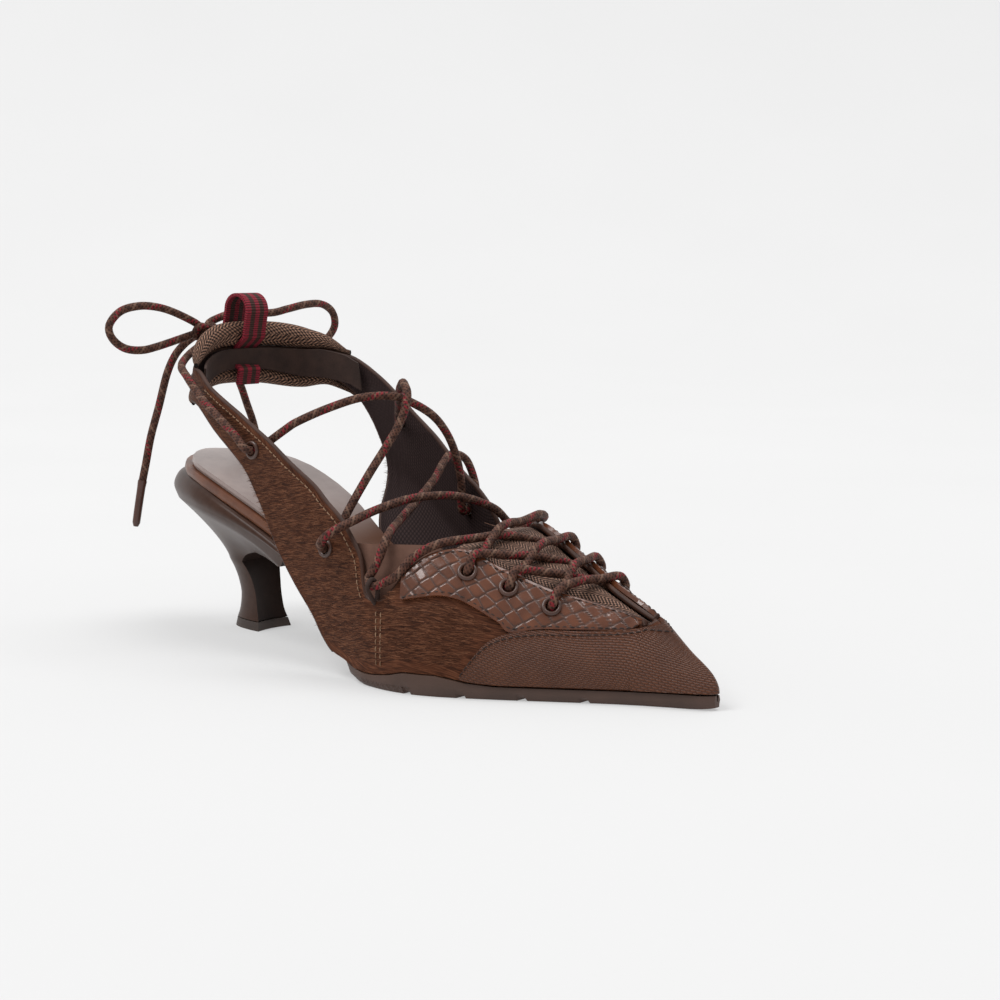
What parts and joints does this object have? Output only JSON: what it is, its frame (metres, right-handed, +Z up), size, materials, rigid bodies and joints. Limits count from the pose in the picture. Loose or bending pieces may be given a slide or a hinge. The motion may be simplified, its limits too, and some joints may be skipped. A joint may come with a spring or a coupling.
{
  "type": "slingback shoe",
  "caption": "Pointed-toe lace-up slingback shoe for the right foot, with a low curved heel, a laced vamp and a sling tied in a bow behind a padded heel tab.",
  "frame": {"origin": "on the floor, under the middle of the shoe's box without its loose lace", "axes": "+X towards the toe, +Y towards the medial (inner) side, +Z up"},
  "size_m": [0.2588, 0.1049, 0.1286],
  "materials": {
    "sole_rubber": "matte dark brown moulded rubber",
    "heel_plastic": "satin dark brown",
    "top_piece_rubber": "matte",
    "rand_leather": "smooth chestnut",
    "sock_leather": "satin grey",
    "hair_leather": "short brown hair",
    "cap_leather": "fine woven emboss",
    "embossed_leather": "glossy scale emboss",
    "mesh": "knit mesh in beige and brown",
    "webbing": "red ribbed webbing with dark stripes",
    "eyelet_enamel": "brown enamel",
    "lace": "round braid",
    "aglet_plastic": "brown sleeve"
  },
  "bodies": {
    "root": {"outsole": "sole_rubber", "heel": "heel_plastic", "heel_top_piece": "top_piece_rubber", "rand": "rand_leather", "insole": "sock_leather", "upper": "hair_leather", "toe_cap": "cap_leather", "eyestay_lateral": "embossed_leather", "eyestay_medial": "embossed_leather", "tongue": "mesh", "heel_roll_top": "mesh", "heel_roll_low": "mesh", "pull_loop": "webbing", "eyelet_lateral_1": "eyelet_enamel", "eyelet_lateral_2": "eyelet_enamel", "eyelet_lateral_3": "eyelet_enamel", "eyelet_lateral_mid": "eyelet_enamel", "eyelet_lateral_upper": "eyelet_enamel", "eyelet_medial_1": "eyelet_enamel", "eyelet_medial_2": "eyelet_enamel", "eyelet_medial_3": "eyelet_enamel", "eyelet_medial_mid": "eyelet_enamel", "eyelet_medial_upper": "eyelet_enamel", "lace_loop_lateral": "lace", "lace_loop_medial": "lace", "lace_crossings": "lace", "lace_instep_a": "lace", "lace_instep_b": "lace", "lace_strap_lateral": "lace", "lace_strap_medial": "lace", "lace_knot": "lace", "bow_left": "lace", "bow_right": "lace", "lace_end_1": "lace", "lace_end_2": "lace", "aglet_1": "aglet_plastic", "aglet_2": "aglet_plastic"}
  },
  "joints": []
}
